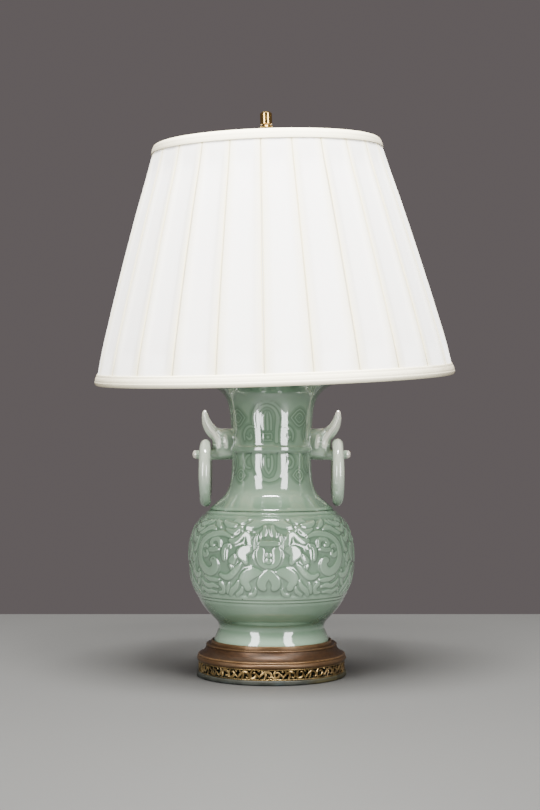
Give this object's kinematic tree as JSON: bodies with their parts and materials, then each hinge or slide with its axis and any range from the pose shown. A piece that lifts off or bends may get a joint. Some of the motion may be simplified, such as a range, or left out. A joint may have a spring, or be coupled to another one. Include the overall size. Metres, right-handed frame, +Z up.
{
  "type": "urn table lamp",
  "caption": "Table lamp with a relief-carved celadon urn, beast-head handles with loose rings, a patinated spun base and a pleated fabric shade.",
  "frame": {"origin": "middle of the felt's underside, on the surface that the lamp stands on", "axes": "+Z up along the urn's axis, -Y to the front, +X to the right of someone facing the lamp"},
  "size_m": [0.4069, 0.406, 0.6331],
  "materials": {
    "felt": "wool felt",
    "patinated_rim": "verdigris and olive patina",
    "gilt_gallery": "worn gilt",
    "patinated_copper": "brown patina with worn edges",
    "cast_iron": "sand cast",
    "zinc_steel": "zinc plated",
    "bushing_plastic": "moulded",
    "pipe_brass": "threaded",
    "celadon_glaze": "glossy celadon glaze over carved relief",
    "celadon_handles": "glossy celadon glaze, paler on the edges",
    "polished_brass": "polished",
    "harp_brass": "brass plated wire",
    "socket_brass": "satin",
    "phenolic": "moulded",
    "aluminium": "rolled",
    "insulating_card": "pressed fibre",
    "frosted_glass": "frosted inside",
    "spider_brass": "brass plated wire",
    "frame_wire": "white enamel",
    "lining_fabric": "smooth lining on card",
    "pleated_fabric": "pleated ivory silk",
    "trim_fabric": "folded bias trim",
    "finial_brass": "lacquered"
  },
  "bodies": {
    "root": {"felt_pad": "felt", "base_rim": "patinated_rim", "gallery_band": "gilt_gallery", "base_top": "patinated_copper", "base_weight": "cast_iron", "base_washer": "zinc_steel", "lock_washer": "zinc_steel", "base_nut": "zinc_steel", "cord_bushing": "bushing_plastic", "lamp_pipe": "pipe_brass", "vase_body": "celadon_glaze", "vase_neck": "celadon_glaze", "handle_left": "celadon_handles", "handle_right": "celadon_handles", "vase_cap": "polished_brass", "neck_spacer": "polished_brass", "harp_saddle": "harp_brass", "saddle_nut": "zinc_steel", "socket_cap": "socket_brass", "socket_body": "phenolic", "screw_shell": "aluminium", "socket_liner": "insulating_card", "socket_shell": "socket_brass"},
    "ring_left": {"ring_left": "celadon_handles"},
    "ring_right": {"ring_right": "celadon_handles"},
    "switch": {"switch_stem": "socket_brass", "switch_knob": "phenolic"},
    "bulb": {"bulb_cap": "aluminium", "bulb_glass": "frosted_glass"},
    "harp": {"harp": "harp_brass", "harp_stud": "harp_brass"},
    "ferrule_left": {"ferrule_left": "harp_brass"},
    "ferrule_right": {"ferrule_right": "harp_brass"},
    "shade": {"spider_hub": "spider_brass", "spider_arms": "spider_brass", "shade_top_ring": "frame_wire", "shade_bottom_ring": "frame_wire", "shade_ribs": "frame_wire", "shade_lining": "lining_fabric", "shade_cover": "pleated_fabric", "shade_top_trim": "trim_fabric", "shade_bottom_trim": "trim_fabric"},
    "finial": {"finial": "finial_brass"}
  },
  "joints": [
    {"name": "ring_left_swing", "type": "hinge", "parent": "root", "child": "ring_left", "pos_m": [-0.0743, 0, 0.2586], "axis": [0, 1, 0], "range_deg": [0, 70]},
    {"name": "ring_right_swing", "type": "hinge", "parent": "root", "child": "ring_right", "pos_m": [0.0743, 0, 0.2586], "axis": [0, -1, 0], "range_deg": [0, 70]},
    {"name": "switch_turn", "type": "hinge", "parent": "root", "child": "switch", "pos_m": [-0.00061, -0.02124, 0.38913], "axis": [0.0009, -0.9991, -0.0419], "continuous": true},
    {"name": "bulb_turn", "type": "hinge", "parent": "root", "child": "bulb", "pos_m": [-0.0008, -0.00161, 0.39836], "axis": [-0.0209, -0.0419, 0.9989], "continuous": true},
    {"name": "harp_lift", "type": "slide", "parent": "root", "child": "harp", "axis": [-0.0209, -0.0419, 0.9989], "range_m": [0, 0.04]},
    {"name": "ferrule_left_lift", "type": "slide", "parent": "harp", "child": "ferrule_left", "axis": [-0.0209, -0.0419, 0.9989], "range_m": [0, 0.012]},
    {"name": "ferrule_right_lift", "type": "slide", "parent": "harp", "child": "ferrule_right", "axis": [-0.0209, -0.0419, 0.9989], "range_m": [0, 0.012]},
    {"name": "shade_turn", "type": "hinge", "parent": "harp", "child": "shade", "pos_m": [-0.00467, -0.00934, 0.58274], "axis": [-0.0331, -0.0767, 0.9965], "continuous": true},
    {"name": "finial_turn", "type": "hinge", "parent": "harp", "child": "finial", "pos_m": [-0.00467, -0.00934, 0.58274], "axis": [-0.0331, -0.0767, 0.9965], "continuous": true}
  ]
}
